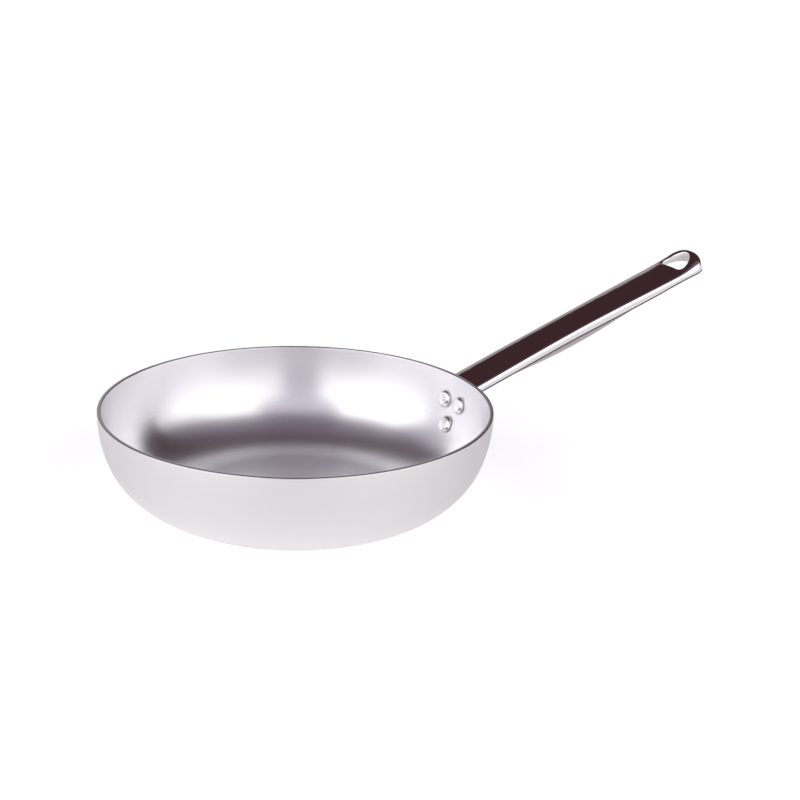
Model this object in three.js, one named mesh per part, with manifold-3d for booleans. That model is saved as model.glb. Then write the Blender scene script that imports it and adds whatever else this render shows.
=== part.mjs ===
// Deep frying pan: a spun aluminium bowl with a hollow handle of pressed stainless steel. A bracket
// holds the handle, and three rivets hold the bracket to the bowl's wall.
// Millimetres, +Z up. The origin is the centre of the base, underneath, and the handle runs along +X.
import * as THREE from "three";
import { mergeVertices } from "three/addons/utils/BufferGeometryUtils.js";
import Module from "manifold-3d";

// Bowl: outside sizes and one wall thickness all over.
const rimRadius = 140;
const bowlHeight = 72;
const baseRadius = 78;
const cornerRadius = 60;
const cornerTurn = 70;
const wallThickness = 3;

// Handle, measured along its own slope from the outside of the rim. Angles are in degrees. Its top
// arches a little between the rim and the start of the tip, and rises again at the tip.
const handleRise = 17.7;
const handleDrop = 6.9;
const handleLength = 232.7;
const rootWidth = 34.4;
const waistWidth = 32.8;
const waistStation = 100;
const endWidth = 36.6;
const endReach = 15.4;
const crownHeight = 2;
const archHeight = 0.9;
const tipStation = 195;
const tipRise = 2.4;
const sideDepth = 5.1;
const shellSheet = 1.2;

// Hanging eye: flat towards the bowl, round towards the tip, with its edge turned down.
const eyeWidth = 23.4;
const eyeLength = 19.2;
const eyeReach = 13;
const eyeToTip = 5.7;
const eyeCorner = 3.5;
const eyeLip = 2.2;

// Lower shell: a tray that nests in the upper one and bulges below it.
const gripStart = 22;
const gripToEye = 24;
const bellyDepth = 10.5;
const gripLap = 3;
const gripSheet = 1;

// Bracket: a plate shaped to the wall, and a tongue inside the handle.
const bracketSheet = 2;
const flangeMargin = 8;
const tongueWidth = 20;
const tongueLength = 45;

// Rivets: heights are drops from the rim to the rivet's middle on the outside of the wall.
const upperRivetDrop = 20.8;
const lowerRivetDrop = 38;
const upperRivetPitch = 18.6;
const shankRadius = 3;
const headRadius = 6.6;
const headFlat = 3.6;
const headHeight = 2.8;
const formedRadius = 5.6;
const formedHeight = 2.2;

// Clearances: between fitted pieces, and round a rivet's shank.
const fit = 0.3;
const shankFit = 0.3;

// Fineness of the round forms.
const bowlSides = 80;
const arcSteps = 7;
const wallSteps = 4;
const outlineSteps = 14;
const crownSteps = 22;
const roundSteps = 9;
const gripSteps = 26;
const gripFacets = 16;
const rivetSides = 24;
const overcut = 20;

const wasm = await Module();
wasm.setup();

const aluminium = { color: 0xd2d0d3, roughness: 0.35, metalness: 1 };
const polishedAluminium = { color: 0xdedee0, roughness: 0.15, metalness: 1 };
const polishedSteel = { color: 0xa49a9a, roughness: 0.08, metalness: 1 };
const plainSteel = { color: 0xa8a6a6, roughness: 0.35, metalness: 1 };

function radians(degrees) {
  return THREE.MathUtils.degToRad(degrees);
}

// A closed geometry as a solid that can be joined and cut.
function solidOf(geometry) {
  const bare = geometry.clone();
  bare.deleteAttribute("normal");
  bare.deleteAttribute("uv");
  const merged = mergeVertices(bare, 1e-4);
  const corners = [];
  for (let i = 0; i < merged.index.count; i += 3) {
    const [a, b, c] = merged.index.array.slice(i, i + 3);
    if (a !== b && b !== c && c !== a) {
      corners.push(a, b, c);
    }
  }
  const vertProperties = Float32Array.from(merged.attributes.position.array);
  const triVerts = Uint32Array.from(corners);
  return new wasm.Manifold(new wasm.Mesh({ numProp: 3, vertProperties, triVerts }));
}

function geometryOf(solid) {
  const { vertProperties, triVerts } = solid.getMesh();
  const geometry = new THREE.BufferGeometry();
  geometry.setAttribute("position", new THREE.BufferAttribute(vertProperties, 3));
  geometry.setIndex(new THREE.BufferAttribute(triVerts, 1));
  geometry.computeVertexNormals();
  return geometry;
}

function part(name, geometry, finish) {
  const mesh = new THREE.Mesh(geometry, new THREE.MeshStandardMaterial(finish));
  mesh.name = name;
  return mesh;
}

// The bowl's outside from the end of the flat base to the rim, moved outwards by an offset: the corner
// is an arc, and the wall curves on from it until it stands upright at the rim.
function wallCurve(offset) {
  const turn = radians(cornerTurn);
  const radius = cornerRadius + offset;
  const foot = new THREE.Vector2(
    baseRadius + radius * Math.sin(turn),
    cornerRadius - radius * Math.cos(turn),
  );
  const rim = new THREE.Vector2(rimRadius + offset, bowlHeight);
  const reach = foot.distanceTo(rim) / 3;
  const curve = new THREE.Path();
  curve.absarc(baseRadius, cornerRadius, radius, -Math.PI / 2, turn - Math.PI / 2, false);
  curve.bezierCurveTo(
    foot.x + reach * Math.cos(turn),
    foot.y + reach * Math.sin(turn),
    rim.x,
    rim.y - reach,
    rim.x,
    rim.y,
  );
  const arc = curve.curves[0].getPoints(arcSteps);
  const wall = curve.curves[curve.curves.length - 1].getPoints(wallSteps);
  return [...arc, ...wall.slice(1)];
}

function turned(profile, sides) {
  return new THREE.LatheGeometry(profile, sides).rotateX(Math.PI / 2);
}

// Everything inside the bowl's outside face moved out by an offset, carried on above the rim.
function withinWall(offset) {
  const profile = [
    new THREE.Vector2(0, -offset),
    ...wallCurve(offset),
    new THREE.Vector2(rimRadius + offset, bowlHeight + overcut),
    new THREE.Vector2(0, bowlHeight + overcut),
  ];
  return turned(profile, bowlSides);
}

// Where the wall's outside lies at a drop below the rim, and how far it leans out from upright there.
function wallAt(drop) {
  const height = bowlHeight - drop;
  const points = wallCurve(0);
  const above = points.findIndex((point) => point.y >= height);
  const low = points[above - 1];
  const high = points[above];
  const share = (height - low.y) / (high.y - low.y);
  const radius = THREE.MathUtils.lerp(low.x, high.x, share);
  const lean = Math.atan2(high.x - low.x, high.y - low.y);
  return { radius, height, lean };
}

// A rivet's frame: its origin on the outside of the wall, and +Y along its shank, into the bowl.
function rivetFrame(drop, side) {
  const { radius, height, lean } = wallAt(drop);
  const bearing = Math.asin((side * upperRivetPitch) / 2 / radius);
  const frame = new THREE.Object3D();
  frame.position.set(radius * Math.cos(bearing), radius * Math.sin(bearing), height);
  frame.rotation.order = "ZYX";
  frame.rotation.set(0, lean, bearing);
  frame.rotateZ(Math.PI / 2);
  frame.updateMatrix();
  return frame;
}

const rivets = {
  rivet_upper_left: rivetFrame(upperRivetDrop, 1),
  rivet_upper_right: rivetFrame(upperRivetDrop, -1),
  rivet_lower: rivetFrame(lowerRivetDrop, 0),
};

// The bowl and the bracket are both drilled along the rivets.
function drilled(solid) {
  let work = solid;
  const drillLength = 4 * (wallThickness + bracketSheet);
  for (const frame of Object.values(rivets)) {
    const drill = new THREE.CylinderGeometry(
      shankRadius + shankFit,
      shankRadius + shankFit,
      drillLength,
      rivetSides,
    );
    work = work.subtract(solidOf(drill.applyMatrix4(frame.matrix)));
  }
  return work;
}

function panBody() {
  const profile = [
    new THREE.Vector2(0, 0),
    ...wallCurve(0),
    ...wallCurve(-wallThickness).reverse(),
    new THREE.Vector2(0, wallThickness),
  ];
  return geometryOf(drilled(solidOf(turned(profile, bowlSides))));
}

// A rivet as it is once set: preformed head in the bowl, shank, and the formed head on the bracket. The
// heads stand off by the fit and by what the wall's curve takes up under them.
function rivet() {
  const sag = headRadius ** 2 / (2 * cornerRadius);
  const headSeat = wallThickness + fit + sag;
  const formedSeat = -(fit + bracketSheet + fit);
  const head = new THREE.Path();
  head.moveTo(shankRadius, headSeat);
  head.lineTo(headRadius, headSeat);
  head.quadraticCurveTo(headRadius, headSeat + headHeight, headFlat, headSeat + headHeight);
  const formed = new THREE.Path();
  formed.moveTo(0, formedSeat - formedHeight);
  formed.lineTo(formedRadius - formedHeight / 2, formedSeat - formedHeight);
  formed.quadraticCurveTo(formedRadius, formedSeat - formedHeight, formedRadius, formedSeat);
  formed.lineTo(shankRadius, formedSeat);
  const profile = [
    ...formed.getPoints(3),
    ...head.getPoints(5),
    new THREE.Vector2(0, headSeat + headHeight),
  ];
  return new THREE.LatheGeometry(profile, rivetSides);
}

// The handle's own frame: +X up its slope from the rim, +Y across, +Z square to its top.
const handle = new THREE.Group();
handle.position.set(rimRadius, 0, bowlHeight - handleDrop);
handle.rotation.y = -radians(handleRise);
handle.updateMatrix();
const toHandle = handle.matrix.clone().invert();

const endHalf = endWidth / 2;
const endCentre = handleLength - endReach;
const eyeBack = handleLength - eyeToTip - eyeLength;
const gripEnd = eyeBack - gripToEye;
const crownRadius = (endHalf ** 2 + crownHeight ** 2) / (2 * crownHeight);

// Half the handle's width: it draws in from the root to the waist and swells again to the round end.
function halfWidth(station) {
  const atRoot = station < waistStation;
  const from = atRoot ? rootWidth : waistWidth;
  const to = atRoot ? waistWidth : endWidth;
  const share = atRoot
    ? THREE.MathUtils.smoothstep(station, 0, waistStation)
    : THREE.MathUtils.smoothstep(station, waistStation, endCentre);
  return THREE.MathUtils.lerp(from, to, share) / 2;
}

// How far the handle's top is lifted above its straight line.
function liftAt(station) {
  const alongGrip = THREE.MathUtils.clamp(station / tipStation, 0, 1);
  const alongTip = Math.max((station - tipStation) / (handleLength - tipStation), 0);
  return archHeight * Math.sin(Math.PI * alongGrip) + tipRise * alongTip ** 2;
}

// The handle from above, drawn in all round by an inset, and carried on into the bowl at its root.
function handleOutline(inset) {
  const near = [];
  for (let i = 0; i <= outlineSteps; i += 1) {
    const station = THREE.MathUtils.lerp(-overcut, endCentre, i / outlineSteps);
    near.push(new THREE.Vector2(station, -halfWidth(station) + inset));
  }
  const far = near.map((point) => new THREE.Vector2(point.x, -point.y)).reverse();
  const shape = new THREE.Shape(near);
  shape.absellipse(
    endCentre,
    0,
    endReach - inset,
    endHalf - inset,
    -Math.PI / 2,
    Math.PI / 2,
    false,
    0,
  );
  far.slice(1).forEach((point) => shape.lineTo(point.x, point.y));
  return shape;
}

// A shape in the handle's plan, raised from one height to another.
function raised(shape, low, high) {
  const options = { depth: high - low, bevelEnabled: false, curveSegments: roundSteps };
  return new THREE.ExtrudeGeometry(shape, options).translate(0, 0, low);
}

// All that lies under the handle's crowned and lifted top, with the top let down by an inset.
function underCrown(inset) {
  const radius = crownRadius - inset;
  const halfAngle = Math.asin((endHalf + shellSheet) / radius);
  const section = new THREE.Shape();
  section.absarc(
    0,
    crownHeight - crownRadius,
    radius,
    Math.PI / 2 - halfAngle,
    Math.PI / 2 + halfAngle,
    false,
  );
  section.lineTo(-endHalf - shellSheet, -sideDepth - 2 * overcut);
  section.lineTo(endHalf + shellSheet, -sideDepth - 2 * overcut);
  const options = {
    depth: handleLength + 2 * overcut,
    steps: crownSteps,
    bevelEnabled: false,
    curveSegments: roundSteps,
  };
  const along = new THREE.Matrix4().makeBasis(
    new THREE.Vector3(0, 1, 0),
    new THREE.Vector3(0, 0, 1),
    new THREE.Vector3(1, 0, 0),
  );
  const crown = new THREE.ExtrudeGeometry(section, options).applyMatrix4(along);
  crown.translate(-1.5 * overcut, 0, 0);
  const place = crown.attributes.position;
  for (let i = 0; i < place.count; i += 1) {
    place.setZ(i, place.getZ(i) + liftAt(place.getX(i)));
  }
  return crown;
}

// The hanging eye from above, let out all round by a margin.
function eyeOutline(margin) {
  const half = eyeWidth / 2;
  const centre = handleLength - eyeToTip - eyeReach;
  const corner = eyeCorner + margin;
  const across = half - eyeCorner;
  const shape = new THREE.Shape();
  shape.absellipse(
    centre,
    0,
    eyeReach + margin,
    half + margin,
    -Math.PI / 2,
    Math.PI / 2,
    false,
    0,
  );
  shape.absarc(eyeBack + eyeCorner, across, corner, Math.PI / 2, Math.PI, false);
  shape.absarc(eyeBack + eyeCorner, -across, corner, Math.PI, 1.5 * Math.PI, false);
  return shape;
}

// The upper shell: a crowned top with its sides turned down all round, the eye cut through it with its
// edge turned down too, and its root cut to stand against the bracket.
function upperShell() {
  const low = -sideDepth - overcut;
  const high = crownHeight + overcut;
  const crown = solidOf(underCrown(0));
  const outside = solidOf(raised(handleOutline(0), -sideDepth, high)).intersect(crown);
  const inside = solidOf(raised(handleOutline(shellSheet), low, high));
  const hollow = inside.intersect(solidOf(underCrown(shellSheet)));
  const lipBand = crown.subtract(solidOf(underCrown(eyeLip)));
  const lip = solidOf(raised(eyeOutline(shellSheet), low, high)).intersect(lipBand);
  const eye = solidOf(raised(eyeOutline(0), low, high));
  const bracketFace = withinWall(fit + bracketSheet + fit).applyMatrix4(toHandle);
  const shell = outside.subtract(hollow).add(lip).subtract(eye);
  return geometryOf(shell.subtract(solidOf(bracketFace)));
}

// The lower shell: a curved tray whose edges lap up inside the upper shell's sides, and whose belly is
// deepest in the middle of the grip.
function lowerShell() {
  const sheet = new THREE.BoxGeometry(1, 1, 1, gripSteps, gripFacets, 1).translate(0.5, 0.5, 0.5);
  const place = sheet.attributes.position;
  for (let i = 0; i < place.count; i += 1) {
    const along = place.getX(i);
    const across = place.getY(i);
    const lift = place.getZ(i) * gripSheet;
    const station = THREE.MathUtils.lerp(gripStart, gripEnd, along);
    const half = halfWidth(station) - shellSheet - fit - lift;
    const depth = bellyDepth * (1 - (2 * along - 1) ** 2);
    const turn = ((across - 0.5) * Math.PI * gripFacets) / (gripFacets - 2);
    const onLap = Math.abs(turn) > Math.PI / 2 + 0.01;
    const y = onLap ? half * Math.sign(turn) : half * Math.sin(turn);
    const height = onLap ? gripLap : lift - depth * Math.cos(turn);
    place.setXYZ(i, station, y, height - sideDepth);
  }
  return geometryOf(solidOf(sheet));
}

// The bracket: a shield-shaped plate bent to the wall, with a flat tongue that runs up the handle.
function bracket() {
  const top = bowlHeight - handleDrop + crownHeight;
  const shoulder = bowlHeight - upperRivetDrop;
  const toe = bowlHeight - lowerRivetDrop - flangeMargin;
  const side = upperRivetPitch / 2 + flangeMargin;
  const shield = new THREE.Shape();
  shield.moveTo(-side, top);
  shield.lineTo(-side, shoulder);
  shield.bezierCurveTo(-side, (shoulder + toe) / 2, -flangeMargin, toe, 0, toe);
  shield.bezierCurveTo(flangeMargin, toe, side, (shoulder + toe) / 2, side, shoulder);
  shield.lineTo(side, top);
  const outwards = new THREE.Matrix4().makeBasis(
    new THREE.Vector3(0, 1, 0),
    new THREE.Vector3(0, 0, 1),
    new THREE.Vector3(1, 0, 0),
  );
  const options = { depth: rimRadius + overcut, bevelEnabled: false, curveSegments: roundSteps };
  const blank = new THREE.ExtrudeGeometry(shield, options).applyMatrix4(outwards);
  const plate = solidOf(blank).intersect(solidOf(withinWall(fit + bracketSheet)));

  const edge = Math.sqrt((crownRadius - shellSheet) ** 2 - (tongueWidth / 2) ** 2);
  const tongueTop = crownHeight - crownRadius + edge - fit;
  const tongue = new THREE.BoxGeometry(tongueLength + overcut, tongueWidth, bracketSheet);
  tongue.translate((tongueLength - overcut) / 2, 0, tongueTop - bracketSheet / 2);
  tongue.applyMatrix4(handle.matrix);

  const joined = plate.add(solidOf(tongue)).subtract(solidOf(withinWall(fit)));
  return geometryOf(drilled(joined));
}

handle.add(part("handle_upper_shell", upperShell(), polishedSteel));
handle.add(part("handle_lower_shell", lowerShell(), polishedSteel));

const pan = new THREE.Group();
pan.add(part("pan_body", panBody(), aluminium));
pan.add(part("handle_bracket", bracket(), plainSteel));
for (const [name, frame] of Object.entries(rivets)) {
  const piece = part(name, rivet(), polishedAluminium);
  piece.position.copy(frame.position);
  piece.quaternion.copy(frame.quaternion);
  pan.add(piece);
}
pan.add(handle);

export default pan;
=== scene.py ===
# Deep frying pan: a bowl spun from aluminium, a hollow handle pressed from stainless steel sheet, and a
# bracket and three rivets that hold the two together. Metres, +Z up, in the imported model's own frame:
# the origin is the centre of the base, underneath, and the handle runs along +X.
import bmesh
import bpy
import math
from mathutils import Matrix, Vector


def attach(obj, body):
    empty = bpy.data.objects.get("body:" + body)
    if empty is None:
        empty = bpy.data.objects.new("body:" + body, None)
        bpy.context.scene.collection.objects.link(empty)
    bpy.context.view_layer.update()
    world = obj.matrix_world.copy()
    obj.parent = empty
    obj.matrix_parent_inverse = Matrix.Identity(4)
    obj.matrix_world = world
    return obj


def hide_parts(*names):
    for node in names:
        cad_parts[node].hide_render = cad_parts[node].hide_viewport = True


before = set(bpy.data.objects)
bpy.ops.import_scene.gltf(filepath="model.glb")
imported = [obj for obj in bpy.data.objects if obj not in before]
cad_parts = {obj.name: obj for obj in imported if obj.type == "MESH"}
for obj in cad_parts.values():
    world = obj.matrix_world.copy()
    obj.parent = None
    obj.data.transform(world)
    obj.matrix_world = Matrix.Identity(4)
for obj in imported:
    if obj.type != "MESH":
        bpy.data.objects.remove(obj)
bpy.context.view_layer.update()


# The bowl: one disc of aluminium, spun over a former to a flat base, a round corner and a wall that
# stands upright at the rim. The rim is a plain cut, the inside is brushed in rings on the lathe, and
# the outside is a finer satin. Three holes take the rivets.
rim_radius = 0.140
bowl_height = 0.072
base_radius = 0.078
corner_radius = 0.060
corner_turn = math.radians(70)
wall_thickness = 0.003
rim_round = 0.0005
bowl_sides = 192
rim_steps = 4
floor_steps = 6
fit = 0.0003
close = 1e-5
weld = 1e-6


def pulled_curve(t, start, start_pull, end_pull, end):
    """A point on a smooth curve between two ends, with a point by each end that pulls it."""
    near = (1 - t) ** 3 * start + 3 * (1 - t) ** 2 * t * start_pull
    far = 3 * (1 - t) * t ** 2 * end_pull + t ** 3 * end
    return near + far


def wall_curve(offset, arc_steps=28, wall_steps=16):
    """The bowl's outside as (radius, height), moved out by an offset: the corner's arc, then the wall."""
    radius = corner_radius + offset
    points = []
    for i in range(arc_steps + 1):
        turn = corner_turn * i / arc_steps
        points.append((base_radius + radius * math.sin(turn), corner_radius - radius * math.cos(turn)))
    foot = Vector(points[-1])
    rim = Vector((rim_radius + offset, bowl_height))
    reach = (rim - foot).length / 3
    pull_low = foot + reach * Vector((math.cos(corner_turn), math.sin(corner_turn)))
    pull_high = rim - Vector((0, reach))
    for i in range(1, wall_steps + 1):
        point = pulled_curve(i / wall_steps, foot, pull_low, pull_high, rim)
        points.append((point.x, point.y))
    return points


def draw_line(name, points):
    """A new object in edit mode: one point pulled out again and again into a line."""
    bpy.ops.object.select_all(action="DESELECT")
    bpy.ops.mesh.primitive_plane_add(size=0.01)
    line = bpy.context.object
    line.name = line.data.name = name
    bpy.ops.object.mode_set(mode="EDIT")
    bpy.ops.mesh.select_mode(type="VERT")
    bpy.ops.mesh.merge(type="CENTER")
    bpy.ops.transform.translate(value=Vector(points[0]))
    for here, there in zip(points, points[1:]):
        step = Vector(there) - Vector(here)
        bpy.ops.mesh.extrude_region_move(TRANSFORM_OT_translate={"value": step})
    return line


def turn_on_lathe(name, outline, sides):
    """Spins an outline of (radius, height), which starts and ends on the axis, to a closed solid."""
    turned = draw_line(name, [(radius, 0, height) for radius, height in outline])
    bpy.ops.mesh.select_all(action="SELECT")
    bpy.ops.mesh.spin(steps=sides, angle=2 * math.pi, center=(0, 0, 0), axis=(0, 0, 1))
    bpy.ops.mesh.select_all(action="SELECT")
    bpy.ops.mesh.remove_doubles(threshold=weld)
    bpy.ops.mesh.normals_make_consistent(inside=False)
    bpy.ops.object.mode_set(mode="OBJECT")
    return turned


def cut_away(piece, tool, operation="DIFFERENCE"):
    """Cuts a piece with a tool by a boolean, and puts the tool away."""
    bpy.ops.object.select_all(action="DESELECT")
    bpy.context.view_layer.objects.active = piece
    piece.select_set(True)
    cut = piece.modifiers.new("cut", "BOOLEAN")
    cut.operation = operation
    cut.solver = "EXACT"
    cut.object = tool
    bpy.ops.object.modifier_apply(modifier=cut.name)
    bpy.data.objects.remove(tool)


def smooth(piece, angle):
    bpy.ops.object.select_all(action="DESELECT")
    bpy.context.view_layer.objects.active = piece
    piece.select_set(True)
    bpy.ops.object.shade_smooth_by_angle(angle=math.radians(angle))


outside = wall_curve(0)
inside = wall_curve(-wall_thickness)
rim_edge = []
for centre, start in ((rim_radius - rim_round, 0), (rim_radius - wall_thickness + rim_round, 90)):
    for i in range(rim_steps + 1):
        turn = math.radians(start + 90 * i / rim_steps)
        height = bowl_height - rim_round + rim_round * math.sin(turn)
        rim_edge.append((centre + rim_round * math.cos(turn), height))
floor_rings = [(base_radius * i / floor_steps, 0) for i in range(floor_steps)]
bowl_outline = floor_rings + outside[:-1] + rim_edge + inside[-2::-1]
bowl_outline += [(radius, wall_thickness) for radius, _ in reversed(floor_rings)]
bowl = turn_on_lathe("bowl", bowl_outline, bowl_sides)

# Where the rivets go through the wall: a drop below the rim and a distance to the side, each with the
# wall's radius and lean there. A rivet's own +Z is its shank, into the bowl.
shank_radius = 0.003
upper_drop = 0.0208
lower_drop = 0.038
upper_pitch = 0.0186
drill_radius = shank_radius + fit
drill_length = 0.02
drill_sides = 32


def rivet_place(drop, aside):
    height = bowl_height - drop
    above = next(i for i, point in enumerate(outside) if point[1] >= height)
    (low_r, low_z), (high_r, high_z) = outside[above - 1], outside[above]
    radius = low_r + (high_r - low_r) * (height - low_z) / (high_z - low_z)
    lean = math.atan2(high_r - low_r, high_z - low_z)
    bearing = math.asin(aside / radius)
    place = Matrix.Rotation(bearing, 4, "Z") @ Matrix.Translation((radius, 0, height))
    return place @ Matrix.Rotation(lean - math.pi / 2, 4, "Y")


rivet_places = {
    "rivet_upper_left": rivet_place(upper_drop, upper_pitch / 2),
    "rivet_upper_right": rivet_place(upper_drop, -upper_pitch / 2),
    "rivet_lower": rivet_place(lower_drop, 0),
}


def drill(piece):
    """Drills the rivet holes through a piece of sheet."""
    for place in rivet_places.values():
        bpy.ops.object.select_all(action="DESELECT")
        bpy.ops.mesh.primitive_cylinder_add(vertices=drill_sides, radius=drill_radius, depth=drill_length)
        bit = bpy.context.object
        bit.matrix_world = place
        cut_away(piece, bit)


drill(bowl)
smooth(bowl, 40)


# The turned finish of the bowl: fine rings round the axis, broken up along their length, which lighten
# and darken the metal and change how far it scatters light, and low on the wall a few faint scuffs that
# run downhill.
def node_in(tree, kind, settings=None, **values):
    """Adds a node, sets its properties, and sets or links its inputs by name, or by number as _0, _1."""
    made = tree.nodes.new(kind)
    for name, value in (settings or {}).items():
        setattr(made, name, value)
    for name, value in values.items():
        socket = made.inputs[int(name[1:])] if name[1:].isdigit() else made.inputs[name.replace("_", " ")]
        if isinstance(value, bpy.types.NodeSocket):
            tree.links.new(value, socket)
        else:
            socket.default_value = value
    return made


def new_group(name, takes, gives):
    """A node group with named sockets, and the ends of those sockets inside it."""
    group = bpy.data.node_groups.new(name, "ShaderNodeTree")
    for socket, kind, value in takes:
        made = group.interface.new_socket(socket, in_out="INPUT", socket_type=kind)
        if value is not None:
            made.default_value = value
    for socket, kind in gives:
        group.interface.new_socket(socket, in_out="OUTPUT", socket_type=kind)
    start = group.nodes.new("NodeGroupInput")
    end = group.nodes.new("NodeGroupOutput")
    return group, start.outputs, end.inputs


number, vector = "NodeSocketFloat", "NodeSocketVector"
rings, take, give = new_group(
    "turned_rings",
    [("Place", vector, None), ("Rings", number, 900.0), ("Break Up", number, 3.0)],
    [("Fine", number), ("Broad", number), ("Streaks", number)],
)
split = node_in(rings, "ShaderNodeSeparateXYZ", _0=take["Place"]).outputs
flat = node_in(rings, "ShaderNodeCombineXYZ", _0=split[0], _1=split[1]).outputs[0]
radius = node_in(rings, "ShaderNodeVectorMath", {"operation": "LENGTH"}, _0=flat).outputs["Value"]
run = node_in(rings, "ShaderNodeMath", {"operation": "SUBTRACT"}, _0=radius, _1=split[2]).outputs[0]
outward = node_in(rings, "ShaderNodeVectorMath", {"operation": "NORMALIZE"}, _0=flat).outputs[0]


def times(tree, one, other):
    return node_in(tree, "ShaderNodeMath", {"operation": "MULTIPLY"}, _0=one, _1=other).outputs[0]


def round_the_bowl(steps_round, steps_along):
    """Coordinates for noise, which set how soon it changes round the axis and from ring to ring."""
    spread = node_in(rings, "ShaderNodeVectorMath", {"operation": "SCALE"}, _0=outward, Scale=steps_round)
    turn = node_in(rings, "ShaderNodeSeparateXYZ", _0=spread.outputs[0]).outputs
    pitch = times(rings, run, steps_along)
    return node_in(rings, "ShaderNodeCombineXYZ", _0=turn[0], _1=turn[1], _2=pitch).outputs[0]


def noise_in(tree, place, scale=1.0, detail=2.0, rough=0.5):
    made = node_in(tree, "ShaderNodeTexNoise", Vector=place, Scale=scale, Detail=detail, Roughness=rough)
    return made.outputs["Fac"]


def ramp(tree, value, start, end, low=0.0, high=1.0):
    """Low up to a start value, high from an end value on, and straight between."""
    return node_in(tree, "ShaderNodeMapRange", _0=value, _1=start, _2=end, _3=low, _4=high).outputs[0]


turned = round_the_bowl(take["Break Up"], take["Rings"])
slow = node_in(rings, "ShaderNodeVectorMath", {"operation": "MULTIPLY"}, _0=turned, _1=(0.5, 0.5, 0.06))
scuff_top, scuff_full = 0.046, 0.036
scuffs_round, scuffs_along = 380.0, 60.0
thin = ramp(rings, noise_in(rings, round_the_bowl(scuffs_round, scuffs_along), rough=0.6), 0.55, 0.75)
where = ramp(rings, noise_in(rings, take["Place"], 24.0), 0.46, 0.60)
below = ramp(rings, split[2], scuff_top, scuff_full)
rings.links.new(noise_in(rings, turned, detail=3.0, rough=0.6), give["Fine"])
rings.links.new(noise_in(rings, slow.outputs[0]), give["Broad"])
rings.links.new(times(rings, times(rings, thin, where), below), give["Streaks"])


def new_metal(name, tint, rough, aniso=0.0):
    """A bare metal: its tree, its shader, and Object coordinates to place its finish by."""
    metal = bpy.data.materials.new(name)
    metal.use_nodes = True
    tree = metal.node_tree
    shader = tree.nodes["Principled BSDF"]
    shader.inputs["Base Color"].default_value = (*tint, 1)
    shader.inputs["Metallic"].default_value = 1
    shader.inputs["Roughness"].default_value = rough
    shader.inputs["Anisotropic"].default_value = aniso
    shader.inputs["Anisotropic Rotation"].default_value = 0.25
    place = tree.nodes.new("ShaderNodeTexCoord").outputs["Object"]
    return metal, tree, shader, place


def range_of(tree, noise, low, high):
    """Noise, which keeps near its middle, spread over the range from low to high."""
    return ramp(tree, noise, 0.3, 0.7, low, high)


def turned_metal(
    name, tint, rough, aniso, ring_count, contrast, rough_spread,
    matt=(0.0, 0.0), wall_rough=0.0, scuffed=0.0,
):
    """A turned finish. The share of it that is matt goes from one at the base to another at the rim, and
    the wall may be rougher than the floor."""
    matt_from, matt_to = 0.024, 0.062
    rougher_from, rougher_to = 0.022, 0.040
    metal, tree, shader, place = new_metal(name, tint, rough, aniso)
    upright = node_in(tree, "ShaderNodeSeparateXYZ", _0=place).outputs[2]
    bright = ramp(tree, upright, matt_from, matt_to, 1 - matt[0], 1 - matt[1])
    tree.links.new(bright, shader.inputs["Metallic"])
    finish = node_in(tree, "ShaderNodeGroup", {"node_tree": rings}, Place=place, Rings=ring_count).outputs
    light = range_of(tree, finish["Fine"], 1 - contrast, 1 + contrast)
    toned = node_in(tree, "ShaderNodeMix", {"data_type": "RGBA", "blend_type": "MULTIPLY"}, Factor=1.0)
    toned.inputs["A"].default_value = (*tint, 1)
    tree.links.new(light, toned.inputs["B"])
    tree.links.new(toned.outputs["Result"], shader.inputs["Base Color"])
    scatter = range_of(tree, finish["Broad"], rough - rough_spread, rough + rough_spread)
    rougher = ramp(tree, upright, rougher_from, rougher_to, 0.0, wall_rough)
    scatter = node_in(tree, "ShaderNodeMath", {"operation": "ADD"}, _0=scatter, _1=rougher).outputs[0]
    scuffs = {"_0": finish["Streaks"], "_1": scuffed, "_2": scatter}
    scatter = node_in(tree, "ShaderNodeMath", {"operation": "MULTIPLY_ADD"}, **scuffs).outputs[0]
    tree.links.new(scatter, shader.inputs["Roughness"])
    bump = node_in(tree, "ShaderNodeBump", Height=finish["Fine"], Strength=0.08, Distance=0.0001)
    tree.links.new(bump.outputs[0], shader.inputs["Normal"])
    round_axis = node_in(tree, "ShaderNodeTangent", {"direction_type": "RADIAL", "axis": "Z"})
    tree.links.new(round_axis.outputs[0], shader.inputs["Tangent"])
    return metal


outside_satin = turned_metal(
    "outside_satin", (0.845, 0.823, 0.828), rough=0.5, aniso=0.5,
    ring_count=2600.0, contrast=0.008, rough_spread=0.02, matt=(0.2, 0.2),
)
inside_brushed = turned_metal(
    "inside_brushed", (0.925, 0.915, 0.945), rough=0.232, aniso=0.82,
    ring_count=2200.0, contrast=0.02, rough_spread=0.012, matt=(0.02, 0.5), wall_rough=0.058, scuffed=0.012,
)
rim_cut = turned_metal(
    "rim_cut", (0.74, 0.73, 0.75), rough=0.22, aniso=0.5,
    ring_count=5000.0, contrast=0.03, rough_spread=0.03,
)


def finish_faces(piece, material, wanted):
    """Gives a material to the faces whose centre and normal are wanted."""
    bpy.ops.object.select_all(action="DESELECT")
    bpy.context.view_layer.objects.active = piece
    piece.select_set(True)
    bpy.ops.object.material_slot_add()
    piece.material_slots[-1].material = material
    piece.active_material_index = len(piece.material_slots) - 1
    for part in (*piece.data.vertices, *piece.data.edges):
        part.select = False
    for face in piece.data.polygons:
        face.select = wanted(face.center, face.normal)
    bpy.ops.object.mode_set(mode="EDIT")
    bpy.ops.mesh.select_mode(type="FACE")
    bpy.ops.object.material_slot_assign()
    bpy.ops.mesh.select_mode(type="VERT")
    bpy.ops.object.mode_set(mode="OBJECT")


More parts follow.
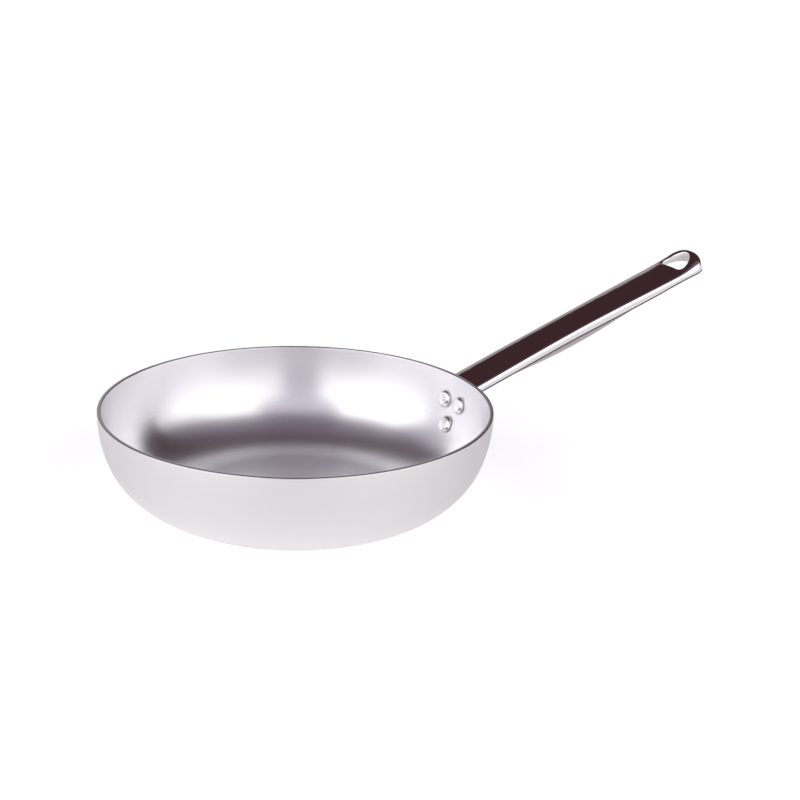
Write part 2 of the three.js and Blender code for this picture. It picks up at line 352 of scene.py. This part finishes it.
def faces_in(centre, normal):
    return normal.z > 0.9 if centre.xy.length < base_radius else centre.xy.dot(normal.xy) < 0


bowl.data.materials.clear()
finish_faces(bowl, outside_satin, lambda centre, normal: True)
finish_faces(bowl, inside_brushed, faces_in)
finish_faces(bowl, rim_cut, lambda centre, normal: centre.z > bowl_height - rim_round - close)
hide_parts("pan_body")
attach(bowl, "root")


# The bracket: a shield of stainless plate bent to the outside of the wall, with a flat tongue that runs
# up inside the handle and is spot-welded there. The three rivets hold it to the bowl.
handle_rise = math.radians(17.7)
handle_drop = 0.0069
crown_height = 0.002
end_half = 0.0183
shell_sheet = 0.0012
bracket_sheet = 0.002
flange_margin = 0.008
shield_start = 0.1
shield_run = 0.06
shield_steps = 16
tongue_width = 0.020
tongue_length = 0.045
tongue_root = 0.02
over_rim = 0.1
crown_radius = (end_half ** 2 + crown_height ** 2) / (2 * crown_height)
handle_place = Matrix.Translation((rim_radius, 0, bowl_height - handle_drop))
handle_place = handle_place @ Matrix.Rotation(-handle_rise, 4, "Y")


def within_wall(name, offset):
    """A solid of all that lies inside the bowl's outside face moved out by an offset."""
    outline = [(0, -offset), *wall_curve(offset), (rim_radius + offset, over_rim), (0, over_rim)]
    return turn_on_lathe(name, outline, bowl_sides)


def extruded(name, points, reach):
    """A closed outline filled and pulled out to a prism."""
    prism = draw_line(name, points)
    bpy.ops.mesh.select_all(action="SELECT")
    bpy.ops.mesh.edge_face_add()
    bpy.ops.mesh.extrude_region_move(TRANSFORM_OT_translate={"value": reach})
    bpy.ops.mesh.select_all(action="SELECT")
    bpy.ops.mesh.normals_make_consistent(inside=False)
    bpy.ops.object.mode_set(mode="OBJECT")
    return prism


shield_top = bowl_height - handle_drop + crown_height
shoulder = bowl_height - upper_drop
toe = bowl_height - lower_drop - flange_margin
shield_side = upper_pitch / 2 + flange_margin
half_shield = [(shield_side, shield_top)]
for i in range(shield_steps + 1):
    t = i / shield_steps
    y = pulled_curve(t, shield_side, shield_side, flange_margin, 0)
    z = pulled_curve(t, shoulder, (shoulder + toe) / 2, toe, toe)
    half_shield.append((y, z))
shield = half_shield + [(-y, z) for y, z in reversed(half_shield[:-1])]
bracket = extruded("bracket", [(shield_start, y, z) for y, z in shield], (shield_run, 0, 0))
cut_away(bracket, within_wall("plate_outside", fit + bracket_sheet), "INTERSECT")
edge = math.sqrt((crown_radius - shell_sheet) ** 2 - (tongue_width / 2) ** 2)
tongue_top = crown_height - crown_radius + edge - fit
bpy.ops.object.select_all(action="DESELECT")
bpy.ops.mesh.primitive_cube_add(size=1)
tongue = bpy.context.object
tongue.dimensions = (tongue_length + tongue_root, tongue_width, bracket_sheet)
bpy.ops.object.transform_apply(location=False, rotation=False, scale=True)
bpy.ops.object.mode_set(mode="EDIT")
bpy.ops.mesh.select_all(action="SELECT")
tongue_centre = ((tongue_length - tongue_root) / 2, 0, tongue_top - bracket_sheet / 2)
bpy.ops.transform.translate(value=tongue_centre)
bpy.ops.object.mode_set(mode="OBJECT")
tongue.matrix_world = handle_place
cut_away(bracket, tongue, "UNION")
cut_away(bracket, within_wall("plate_inside", fit))
drill(bracket)
smooth(bracket, 30)

# Marks of handling on bare steel: a faint haze that changes from place to place, and hairlines.
marks, take, give = new_group(
    "handling_marks",
    [("Place", vector, None), ("Hairlines", number, 2500.0)],
    [("Haze", number), ("Lines", number)],
)
drawn_out = node_in(marks, "ShaderNodeMapping", Vector=take["Place"], Scale=(0.015, 1.0, 1.0)).outputs[0]
marks.links.new(noise_in(marks, take["Place"], scale=38.0, detail=4.0, rough=0.55), give["Haze"])
marks.links.new(noise_in(marks, drawn_out, scale=take["Hairlines"]), give["Lines"])


def marked_metal(name, tint, rough, rough_spread, line_depth, turn=0.0, wave=0.0):
    """A metal with those marks. Its hairlines can be turned along the handle, and its face a little wavy."""
    metal, tree, shader, place = new_metal(name, tint, rough)
    turned = node_in(tree, "ShaderNodeMapping", Vector=place, Rotation=(0, turn, 0)).outputs[0]
    worn = node_in(tree, "ShaderNodeGroup", {"node_tree": marks}, Place=turned).outputs
    scatter = range_of(tree, worn["Haze"], rough - rough_spread, rough + rough_spread)
    tree.links.new(scatter, shader.inputs["Roughness"])
    scratched = node_in(tree, "ShaderNodeBump", Height=worn["Lines"], Strength=line_depth, Distance=0.00005)
    pressed = node_in(tree, "ShaderNodeBump", Height=worn["Haze"], Strength=wave, Distance=0.0003)
    tree.links.new(scratched.outputs[0], pressed.inputs["Normal"])
    tree.links.new(pressed.outputs[0], shader.inputs["Normal"])
    return metal


plate_steel = marked_metal("plate_steel", (0.62, 0.61, 0.61), rough=0.34, rough_spread=0.05, line_depth=0.15)
bracket.data.materials.clear()
bracket.data.materials.append(plate_steel)
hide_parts("handle_bracket")
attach(bracket, "root")


# The rivets: solid aluminium, put in from inside the bowl. The preformed head inside has a flat top and
# a round shoulder, polished by the setting tool, and a dark grey ring painted round its foot where it seats
# on the wall, as painted shade for the thin dark outline there. The shank is upset to a low head on the
# bracket.
head_radius = 0.0066
head_flat = 0.0036
head_height = 0.0028
formed_radius = 0.0056
formed_height = 0.0022
formed_flare = 0.7
seat_gap = 0.00005
head_edge = 0.0002
head_crown = 0.00005
shade_ring_half = 0.00013
formed_steps = 6
shoulder_steps = 10
rivet_sides = 48
head_seat = wall_thickness + seat_gap + head_radius ** 2 / (2 * corner_radius)
formed_seat = -(fit + bracket_sheet + seat_gap)
rivet_outline = [(0, formed_seat - formed_height)]
for i in range(formed_steps + 1):
    turn = math.radians(90 * i / formed_steps)
    flank = formed_radius - formed_height * (1 - math.sin(turn)) * formed_flare
    rivet_outline.append((flank, formed_seat - formed_height * math.cos(turn)))
rivet_outline += [(shank_radius, formed_seat), (shank_radius, head_seat)]
rivet_outline.append((head_radius - head_edge, head_seat))
for i in range(shoulder_steps + 1):
    turn = math.radians(90 * i / shoulder_steps)
    out = head_flat + (head_radius - head_flat) * math.cos(turn)
    rivet_outline.append((out, head_seat + head_edge + (head_height - 2 * head_edge) * math.sin(turn)))
rivet_outline += [(head_flat / 2, head_seat + head_height - head_crown), (0, head_seat + head_height)]

tool_marks = 0.03
rivet_metal = marked_metal("rivet_polished", (0.84, 0.835, 0.84), 0.2, 0.04, tool_marks)
# Painted shade: a dark grey ring round the foot of the head stands in for the thin dark outline where the
# head meets the wall.
rivet_foot_painted_shade = marked_metal("rivet_foot_painted_shade", (0.34, 0.33, 0.34), 0.45, 0.04, tool_marks)
pattern = turn_on_lathe("rivet_pattern", rivet_outline, rivet_sides)
smooth(pattern, 40)
pattern.data.materials.clear()
pattern.data.materials.append(rivet_metal)
# The faces at the foot of the head, just above the seat, get the ring of painted shade.
shade_ring_height = head_seat + head_edge / 2
finish_faces(pattern, rivet_foot_painted_shade, lambda centre, normal: abs(centre.z - shade_ring_height) < shade_ring_half)
for name, place in rivet_places.items():
    bpy.ops.object.select_all(action="DESELECT")
    bpy.context.view_layer.objects.active = pattern
    pattern.select_set(True)
    bpy.ops.object.duplicate(linked=False)
    rivet = bpy.context.object
    rivet.name = f"set_{name}"
    rivet.matrix_world = place
    bpy.ops.object.transform_apply(location=True, rotation=True, scale=True)
    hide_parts(name)
    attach(rivet, "root")
bpy.data.objects.remove(pattern)


# The upper shell: the handle's top, sides and round tip, pressed from one stainless sheet and polished to
# a mirror. Its top arches a little over the grip and rises at the tip, where the hanging eye is cut and
# its edge turned down. Its root stands against the bracket.
handle_length = 0.2313
root_half = 0.0172
waist_half = 0.0164
waist_station = 0.100
end_reach = 0.0154
end_fullness = 2.5
arch_height = 0.0009
tip_station = 0.195
tip_rise = 0.0055
side_depth = 0.0051
grip_deeper = 0.0008
grip_deep_start, grip_deep_run = 0.080, 0.070
grip_lift_start, grip_lift_run = 0.180, 0.012
tip_deeper = 0.0010
tip_deep_start, tip_deep_run = 0.205, 0.027
shade_band_height = 0.0012
side_roll = 0.0024
nose_roll = 0.0062
roll_station = 0.200
eye_back = 0.2074
eye_widest = 0.2110
eye_front = 0.2257
eye_half = 0.0114
eye_corner = 0.0036
eye_fullness = 1.7
eye_lip = 0.0024
eye_roll = 0.0009
collar_reach = 0.006
root_reach = 0.014
end_centre = handle_length - end_reach
collar_back = eye_back - collar_reach


def ease(share):
    """0 to 1, starting and ending gently."""
    share = min(max(share, 0), 1)
    return share * share * (3 - 2 * share)


def half_width(station):
    if station < waist_station:
        return root_half + (waist_half - root_half) * ease(station / waist_station)
    share = ease((station - waist_station) / (end_centre - waist_station))
    return waist_half + (end_half - waist_half) * share


def roll_at(station):
    """How round the top is turned over into the sides."""
    share = ease((station - roll_station) / (handle_length - roll_station))
    return side_roll + (nose_roll - side_roll) * share


def edge_gap(station, aside):
    """How far a point of the top lies inside the handle's outline."""
    if station <= end_centre:
        return half_width(station) - abs(aside)
    ahead = station - end_centre
    share = (ahead / end_reach) ** end_fullness + abs(aside / end_half) ** end_fullness
    return math.hypot(ahead, aside) * (1 / share ** (1 / end_fullness) - 1)


def top_height(station, aside):
    """The height of the handle's top: its crown, its arch and its rise, less what is turned down."""
    grip = min(max(station / tip_station, 0), 1)
    tip = max((station - tip_station) / (handle_length - tip_station), 0)
    crown = crown_height - crown_radius + math.sqrt(crown_radius ** 2 - aside ** 2)
    roll = roll_at(station)
    short = roll - min(max(edge_gap(station, aside), 0), roll)
    turned_down = roll - math.sqrt(roll ** 2 - short ** 2)
    return crown + arch_height * math.sin(math.pi * grip) + tip_rise * tip ** 3 - turned_down


def edge_depth(station):
    """How far down the sides reach: a little more over the outer half of the grip, and most at the tip."""
    grip = ease((station - grip_deep_start) / grip_deep_run)
    grip -= ease((station - grip_lift_start) / grip_lift_run) / 2
    tip = ease((station - tip_deep_start) / tip_deep_run)
    return side_depth + grip_deeper * grip + tip_deeper * tip


def evenly(points, count):
    """The same line, walked in a count of equal steps."""
    tiny = 1e-12
    points = [Vector(point) for point in points]
    walked = [0]
    for here, there in zip(points, points[1:]):
        walked.append(walked[-1] + (there - here).length)
    line = []
    for i in range(count + 1):
        goal = walked[-1] * i / count
        leg = max(k for k in range(len(points) - 1) if walked[k] <= goal + tiny)
        share = (goal - walked[leg]) / max(walked[leg + 1] - walked[leg], tiny)
        line.append(points[leg].lerp(points[leg + 1], share))
    return line


def bow(centre, reach, half, start, end, steps=60, fullness=2):
    """Points on an ellipse, or on a leaner or fuller one, from one angle to another in degrees."""
    points = []
    for i in range(steps + 1):
        turn = math.radians(start + (end - start) * i / steps)
        ahead, aside = (math.copysign(abs(f(turn)) ** (2 / fullness), f(turn)) for f in (math.cos, math.sin))
        points.append((centre[0] + reach * ahead, centre[1] + half * aside, 0))
    return points


roll_steps = 6
level_steps = 5
side_steps = 20
round_steps = 72
corner_steps = 12
roll_shares = [1 - math.sin(math.radians(90 * k / roll_steps)) for k in range(roll_steps + 1)]
back_half = half_width(collar_back)
crest = back_half - side_roll
far_roll = [back_half - side_roll * share for share in reversed(roll_shares)]
level = [crest - crest * i / level_steps for i in range(1, 2 * level_steps)]
across = far_roll + level + [-aside for aside in reversed(far_roll)]
inset = eye_half - eye_corner
stations = [collar_back + (end_centre - collar_back) * i / side_steps for i in range(side_steps)]
near_side = [(s, -half_width(s), 0) for s in stations]
far_side = [(s, half_width(s), 0) for s in reversed(stations)]
tip_end = bow((end_centre, 0), end_reach, end_half, -90, 90, fullness=end_fullness)
collar_loop = evenly(near_side + tip_end + far_side, round_steps)
collar_loop += [Vector((collar_back, aside, 0)) for aside in across[1:-1]]
near_corner, far_corner = (eye_back + eye_corner, -inset), (eye_back + eye_corner, inset)
eye_ahead = bow(near_corner, eye_corner, eye_corner, 225, 270, corner_steps)
eye_ahead += bow((eye_widest, 0), eye_front - eye_widest, eye_half, -90, 90, fullness=eye_fullness)
eye_ahead += bow(far_corner, eye_corner, eye_corner, 90, 135, corner_steps)
eye_behind = bow(far_corner, eye_corner, eye_corner, 135, 180, corner_steps)
eye_behind += bow(near_corner, eye_corner, eye_corner, 180, 225, corner_steps)
eye_loop = evenly(eye_ahead, round_steps) + evenly(eye_behind, len(across) - 1)[1:-1]


def draw_ring(name, points):
    """A closed line."""
    ring = draw_line(name, points)
    bpy.ops.mesh.select_all(action="SELECT")
    bpy.ops.mesh.edge_face_add()
    bpy.ops.mesh.delete(type="ONLY_FACE")
    bpy.ops.object.mode_set(mode="OBJECT")
    return ring


eye_line = draw_ring("eye_line", eye_loop)
upper = draw_ring("handle_upper", collar_loop)
eye_line.select_set(True)
bpy.ops.object.join()
bpy.ops.object.mode_set(mode="EDIT")
bpy.ops.mesh.select_all(action="SELECT")
collar_rings = 8
bpy.ops.mesh.bridge_edge_loops(type="CLOSED", number_cuts=collar_rings - 1, interpolation="LINEAR")

# The rings between the eye and the outline are moved along their spokes to where the sheet turns over.
sheet = bmesh.from_edit_mesh(upper.data)
spokes = list(zip(eye_loop, collar_loop))
first_ring_back = 0.3
first_ring_ahead = 0.7
widest_roll = 0.62


def off_spoke(point, spoke):
    """How far a point lies from a spoke."""
    run = spoke[1] - spoke[0]
    share = min(max((point - spoke[0]).dot(run) / run.length_squared, 0), 1)
    return (point - spoke[0] - run * share).length


def ring_share(spoke, ring):
    """How far out along its spoke a ring lies."""
    inner, outer = spokes[spoke]
    if spoke > round_steps:
        inward = min(spoke - round_steps, len(spokes) - spoke, roll_steps)
        corner = ring_share(0, ring)
        middle = first_ring_back + (1 - first_ring_back) * (ring - 1) / (collar_rings - 1)
        return corner + (middle - corner) * roll_shares[roll_steps - inward]
    wanted = min(roll_at(outer.x), widest_roll * edge_gap(inner.x, inner.y)) * roll_shares[max(ring - 2, 0)]
    low, high = 0.0, 1.0
    for _ in range(40):
        middle = (low + high) / 2
        trial = inner.lerp(outer, middle)
        low, high = (middle, high) if edge_gap(trial.x, trial.y) > wanted else (low, middle)
    return low if ring > 1 else low * first_ring_ahead


for point in sheet.verts:
    nearest = min(range(len(spokes)), key=lambda i: off_spoke(point.co, spokes[i]))
    inner, outer = spokes[nearest]
    ring = round(collar_rings * (point.co - inner).length / (outer - inner).length)
    if 0 < ring < collar_rings:
        point.co = inner.lerp(outer, ring_share(nearest, ring))
bmesh.update_edit_mesh(upper.data)


def select_where(piece, wanted, kind="VERT"):
    """Selects, in edit mode, only the points or edges that are wanted."""
    shape = bmesh.from_edit_mesh(piece.data)
    bpy.ops.mesh.select_mode(type=kind)
    bpy.ops.mesh.select_all(action="DESELECT")
    for part in shape.verts if kind == "VERT" else shape.edges:
        if wanted(part):
            part.select_set(True)
    shape.select_flush_mode()
    bmesh.update_edit_mesh(piece.data)


def back_of_collar(edge):
    return edge.is_boundary and all(v.co.x < collar_back + close for v in edge.verts)


select_where(upper, back_of_collar, "EDGE")
rows = 36
row_stations = [collar_back - (root_reach + collar_back) * i / rows for i in range(rows + 1)]
for here, there in zip(row_stations, row_stations[1:]):
    bpy.ops.mesh.extrude_region_move(TRANSFORM_OT_translate={"value": (there - here, 0, 0)})
    narrower = half_width(there) / half_width(here)
    bpy.ops.transform.resize(value=(1, narrower, 1), center_override=(there, 0, 0))
bpy.ops.mesh.select_all(action="SELECT")
bpy.ops.mesh.remove_doubles(threshold=weld)
bpy.ops.mesh.normals_make_consistent(inside=False)
sheet = bmesh.from_edit_mesh(upper.data)
if sum(face.normal.z for face in sheet.faces) < 0:
    bpy.ops.mesh.flip_normals()
for point in sheet.verts:
    point.co.z = top_height(point.co.x, point.co.y)
bmesh.update_edit_mesh(upper.data)


fold_angle = 1.0


def round_the_eye(point):
    return eye_back - close < point.co.x < eye_front + close and abs(point.co.y) < eye_half + close


def outer_edge(edge):
    at_root = all(v.co.x < row_stations[-1] + close for v in edge.verts)
    return edge.is_boundary and not at_root and not all(round_the_eye(v) for v in edge.verts)


def eye_edge(edge):
    return edge.is_boundary and all(round_the_eye(v) for v in edge.verts)


def eye_fold(edge):
    folded = not edge.is_boundary and edge.calc_face_angle(0) > fold_angle
    return folded and all(round_the_eye(v) for v in edge.verts)


# The outline is pulled down in two rows; the lower row is the band that gets the painted shade.
select_where(upper, outer_edge, "EDGE")
for band_step in (0, shade_band_height):
    bpy.ops.mesh.extrude_region_move(TRANSFORM_OT_translate={"value": (0, 0, -shade_band_height)})
    for point in bmesh.from_edit_mesh(upper.data).verts:
        if point.select:
            point.co.z = shade_band_height - band_step - edge_depth(point.co.x)
bmesh.update_edit_mesh(upper.data)
select_where(upper, eye_edge, "EDGE")
bpy.ops.mesh.extrude_region_move(TRANSFORM_OT_translate={"value": (0, 0, -eye_lip)})
select_where(upper, eye_fold, "EDGE")
bpy.ops.mesh.bevel(offset=eye_roll, segments=6, affect="EDGES", profile=0.5)
bpy.ops.mesh.select_all(action="SELECT")
bpy.ops.mesh.normals_make_consistent(inside=False)
bpy.ops.object.mode_set(mode="OBJECT")
if sum(face.normal.z * face.area for face in upper.data.polygons) < 0:
    upper.data.flip_normals()
sheet = upper.modifiers.new("sheet", "SOLIDIFY")
sheet.thickness = shell_sheet
sheet.offset = -1
sheet.use_even_offset = True
bpy.ops.object.modifier_apply(modifier=sheet.name)
upper.matrix_world = handle_place
bpy.ops.object.transform_apply(location=True, rotation=True, scale=True)
cut_away(upper, within_wall("root_face", fit + bracket_sheet + fit))
smooth(upper, 35)

# The polish is on the outside alone, and stops short of a narrow near-black band along the bottom of the
# outer sides, which is painted shade for the dark line under the side's lower edge. The inside is
# left as it was rolled.
hairline = 0.02
mirror_steel = marked_metal("mirror_steel", (0.92, 0.90, 0.90), 0.06, 0.02, hairline, handle_rise, wave=0.5)
# Painted shade: the near-black steel of the band along the bottom of the outer sides, standing in for the
# shadow line under their lower edge.
edge_band_painted_shade = marked_metal("edge_band_painted_shade", (0.12, 0.11, 0.11), 0.5, 0.05, hairline, handle_rise)
rolled_steel = marked_metal("rolled_steel", (0.72, 0.71, 0.71), 0.36, 0.05, hairline, handle_rise)
on_handle = handle_place.inverted()
upright_face = 0.2
under_top = 0.001


def inside_the_handle(centre, normal):
    centre, normal = on_handle @ centre, on_handle.to_3x3() @ normal
    in_from_edge = edge_gap(centre.x, centre.y) > shell_sheet / 2
    inner_side = in_from_edge and abs(normal.z) < upright_face and centre.z < -under_top
    return normal.z < -upright_face or inner_side


# The faces of that band of painted shade: the lowest row of the outer sides, at the outline.
def on_painted_shade_band(centre, normal):
    centre = on_handle @ centre
    low = centre.z < shade_band_height * 0.9 - edge_depth(centre.x)
    return low and edge_gap(centre.x, centre.y) < shell_sheet * 0.75


upper.data.materials.clear()
upper.data.materials.append(mirror_steel)
finish_faces(upper, rolled_steel, inside_the_handle)
finish_faces(upper, edge_band_painted_shade, on_painted_shade_band)
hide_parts("handle_upper_shell")
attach(upper, "root")


# The lower shell: a boat-shaped tray of thinner stainless sheet that closes the underside of the grip. It
# nests inside the upper shell's sides, is spot-welded there, and its belly fills the hand.
grip_start = 0.022
grip_end = 0.1838
belly_depth = 0.0105
grip_lap = 0.003
grip_sheet = 0.001
grip_rows = 48
tray_round = 0.010
tray_sides = 64
bpy.ops.object.select_all(action="DESELECT")
bpy.ops.mesh.primitive_cylinder_add(
    vertices=tray_sides,
    radius=tray_round,
    depth=grip_end - grip_start,
    end_fill_type="NOTHING",
    location=((grip_start + grip_end) / 2, 0, 0),
    rotation=(0, math.pi / 2, 0),
)
lower = bpy.context.object
lower.name = lower.data.name = "handle_lower"
bpy.ops.object.transform_apply(location=True, rotation=True, scale=True)
bpy.ops.object.mode_set(mode="EDIT")
select_where(lower, lambda point: point.co.z > close)
bpy.ops.mesh.delete(type="VERT")


def runs_along(edge):
    return abs(edge.verts[0].co.x - edge.verts[1].co.x) > close


def tray_edge(edge):
    return edge.is_boundary and runs_along(edge) and all(abs(v.co.z) < weld for v in edge.verts)


select_where(lower, runs_along, "EDGE")
bpy.ops.mesh.subdivide(number_cuts=grip_rows - 1)
for i in range(grip_rows + 1):
    along = i / grip_rows
    station = grip_start + (grip_end - grip_start) * along
    select_where(lower, lambda point: abs(point.co.x - station) < close)
    wide = (half_width(station) - shell_sheet - fit) / tray_round
    deep = belly_depth * (1 - (2 * along - 1) ** 2) / tray_round
    bpy.ops.transform.resize(value=(1, wide, deep), center_override=(station, 0, 0))
select_where(lower, tray_edge, "EDGE")
bpy.ops.mesh.extrude_region_move(TRANSFORM_OT_translate={"value": (0, 0, grip_lap)})
bpy.ops.mesh.select_mode(type="VERT")
bpy.ops.mesh.select_all(action="SELECT")
bpy.ops.transform.translate(value=(0, 0, -side_depth))
bpy.ops.mesh.normals_make_consistent(inside=False)
bpy.ops.object.mode_set(mode="OBJECT")
if sum(face.normal.z * face.area for face in lower.data.polygons) > 0:
    lower.data.flip_normals()
sheet = lower.modifiers.new("sheet", "SOLIDIFY")
sheet.thickness = grip_sheet
sheet.offset = -1
bpy.ops.object.modifier_apply(modifier=sheet.name)
lower.matrix_world = handle_place
bpy.ops.object.transform_apply(location=True, rotation=True, scale=True)
smooth(lower, 35)
# The tray's steel is a satin finish, and its colour is also darkened and tinted pink well below the upper
# shell's steel: painted shade for the dimmer reflection its underside shows.
tray_satin_painted_shade = marked_metal("tray_satin_painted_shade", (0.52, 0.48, 0.49), 0.16, 0.03, 0.04, handle_rise)
lower.data.materials.clear()
lower.data.materials.append(tray_satin_painted_shade)
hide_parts("handle_lower_shell")
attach(lower, "root")


# The studio: a white table that runs out of sight, white walls with a soft box at either side of the
# camera and grey panels, and a dark ceiling, doorway and post, which the metal shows. The camera looks
# down on the pan, and the handle points right and away from it.
away = Vector((0.549, 0.836, 0))
table_drop = 0.0004
table_glow = 0.6
mirrored_glow = 0.32
bpy.ops.object.select_all(action="DESELECT")
bpy.ops.mesh.primitive_plane_add(size=30, location=(0, 0, -table_drop))
table = bpy.context.object
table.name = "table"
table_white = bpy.data.materials.new("table_white")
table_white.use_nodes = True
tree = table_white.node_tree
shader = tree.nodes["Principled BSDF"]
shader.inputs["Base Color"].default_value = (0.9, 0.9, 0.9, 1)
shader.inputs["Roughness"].default_value = 0.9
shader.inputs["Specular IOR Level"].default_value = 0
shader.inputs["Emission Color"].default_value = (1, 1, 1, 1)
paths = tree.nodes.new("ShaderNodeLightPath").outputs
glossy, through = paths["Is Glossy Ray"], paths["Is Transmission Ray"]
mirrored = node_in(tree, "ShaderNodeMath", {"operation": "MAXIMUM"}, _0=glossy, _1=through).outputs[0]
glow = {"_0": paths["Is Camera Ray"], "_1": table_glow, "_2": times(tree, mirrored, mirrored_glow)}
glow = node_in(tree, "ShaderNodeMath", {"operation": "MULTIPLY_ADD"}, **glow)
tree.links.new(glow.outputs[0], shader.inputs["Emission Strength"])
table.data.materials.append(table_white)

studio = bpy.data.worlds.new("studio")
bpy.context.scene.world = studio
studio.use_nodes = True
tree = studio.node_tree
backdrop = tree.nodes["Background"]
facing = tree.nodes.new("ShaderNodeTexCoord").outputs["Generated"]


def towards(turn, rise):
    """A direction: degrees to the right of straight away from the camera, and degrees up."""
    turn, rise = math.radians(turn), math.radians(rise)
    level = away * math.cos(turn) + away.cross(Vector((0, 0, 1))) * math.sin(turn)
    return level * math.cos(rise) + Vector((0, 0, math.sin(rise)))


def fade(value, start, end):
    """0 at one value and 1 at another, starting and ending gently."""
    gently = {"interpolation_type": "SMOOTHSTEP"}
    return node_in(tree, "ShaderNodeMapRange", gently, _0=value, _1=start, _2=end).outputs[0]


def facing_by(direction):
    """How nearly a line of sight points in a direction, as a cosine."""
    made = node_in(tree, "ShaderNodeVectorMath", {"operation": "DOT_PRODUCT"}, _0=facing, _1=direction)
    return made.outputs["Value"]


def patch(direction, outer, inner):
    """1 within an angle of a direction, fading to 0 at a wider one."""
    return fade(facing_by(direction), math.cos(math.radians(outer)), math.cos(math.radians(inner)))


def blend(below, above, share):
    """One colour, or what is there already, with a share of another laid over it."""
    mixed = node_in(tree, "ShaderNodeMix", {"data_type": "RGBA"}, Factor=share)
    for socket, value in (("A", below), ("B", above)):
        if isinstance(value, bpy.types.NodeSocket):
            tree.links.new(value, mixed.inputs[socket])
        else:
            mixed.inputs[socket].default_value = (*value, 1)
    return mixed.outputs["Result"]


def sine(degrees):
    return math.sin(math.radians(degrees))


height = node_in(tree, "ShaderNodeSeparateXYZ", _0=facing).outputs[2]
sideways = facing_by(towards(90, 0))
right_box = patch(towards(130, 26), 50, 34)
left_box = patch(towards(-130, 26), 50, 34)
camera_panel = times(tree, patch(towards(180, 0), 75, 40), fade(sideways, sine(16), sine(6)))
camera_panel = times(tree, camera_panel, fade(sideways, sine(-16), sine(-6)))
far_panel = times(tree, patch(towards(-8, 16), 30, 22), fade(height, sine(9), sine(13)))
top_panel = patch(towards(180, 50), 28, 16)
left_panel = patch(towards(-66, 38), 28, 14)
right_ceiling = patch(towards(60, 56), 36, 24)
ceiling = patch(towards(0, 73), 55, 42)
doorway = times(tree, patch(towards(4, 40), 50, 43), fade(height, sine(23.6), sine(24.6)))
post = times(tree, patch(towards(34, 10), 42, 34), fade(sideways, sine(2), sine(5)))
post = times(tree, post, fade(height, 0, sine(2)))
room = (1.02, 1.0, 1.0)
unlit = (0.046, 0.021, 0.025)
for light, share in (
    ((1.58, 1.58, 1.58), right_box),
    ((1.82, 1.82, 1.82), left_box),
    ((0.50, 0.50, 0.59), camera_panel),
    ((0.38, 0.345, 0.35), far_panel),
    ((0.70, 0.67, 0.74), top_panel),
    ((0.50, 0.48, 0.54), left_panel),
    ((0.13, 0.10, 0.145), right_ceiling),
    ((0.13, 0.092, 0.14), ceiling),
    (unlit, doorway),
    (unlit, post),
):
    room = blend(room, light, share)
paths = tree.nodes.new("ShaderNodeLightPath").outputs
tree.links.new(blend(room, (1, 1, 1), paths["Is Camera Ray"]), backdrop.inputs["Color"])
backdrop.inputs["Strength"].default_value = 1

lens = bpy.data.cameras.new("camera")
lens.lens = 95.31
lens.sensor_width = 36
camera = bpy.data.objects.new("camera", lens)
bpy.context.scene.collection.objects.link(camera)
ahead = Vector((0.5181, 0.7888, -0.3307)).normalized()
level = ahead.cross(Vector((0, 0, 1))).normalized()
upward = level.cross(ahead)
roll = math.radians(1.346)
right = math.cos(roll) * level + math.sin(roll) * upward
upright = -math.sin(roll) * level + math.cos(roll) * upward
stand = Matrix((right, upright, -ahead)).transposed().to_4x4()
stand.translation = (-0.7146, -1.2218, 0.5739)
camera.matrix_world = stand
bpy.context.scene.camera = camera
bpy.context.scene.view_settings.view_transform = "Standard"
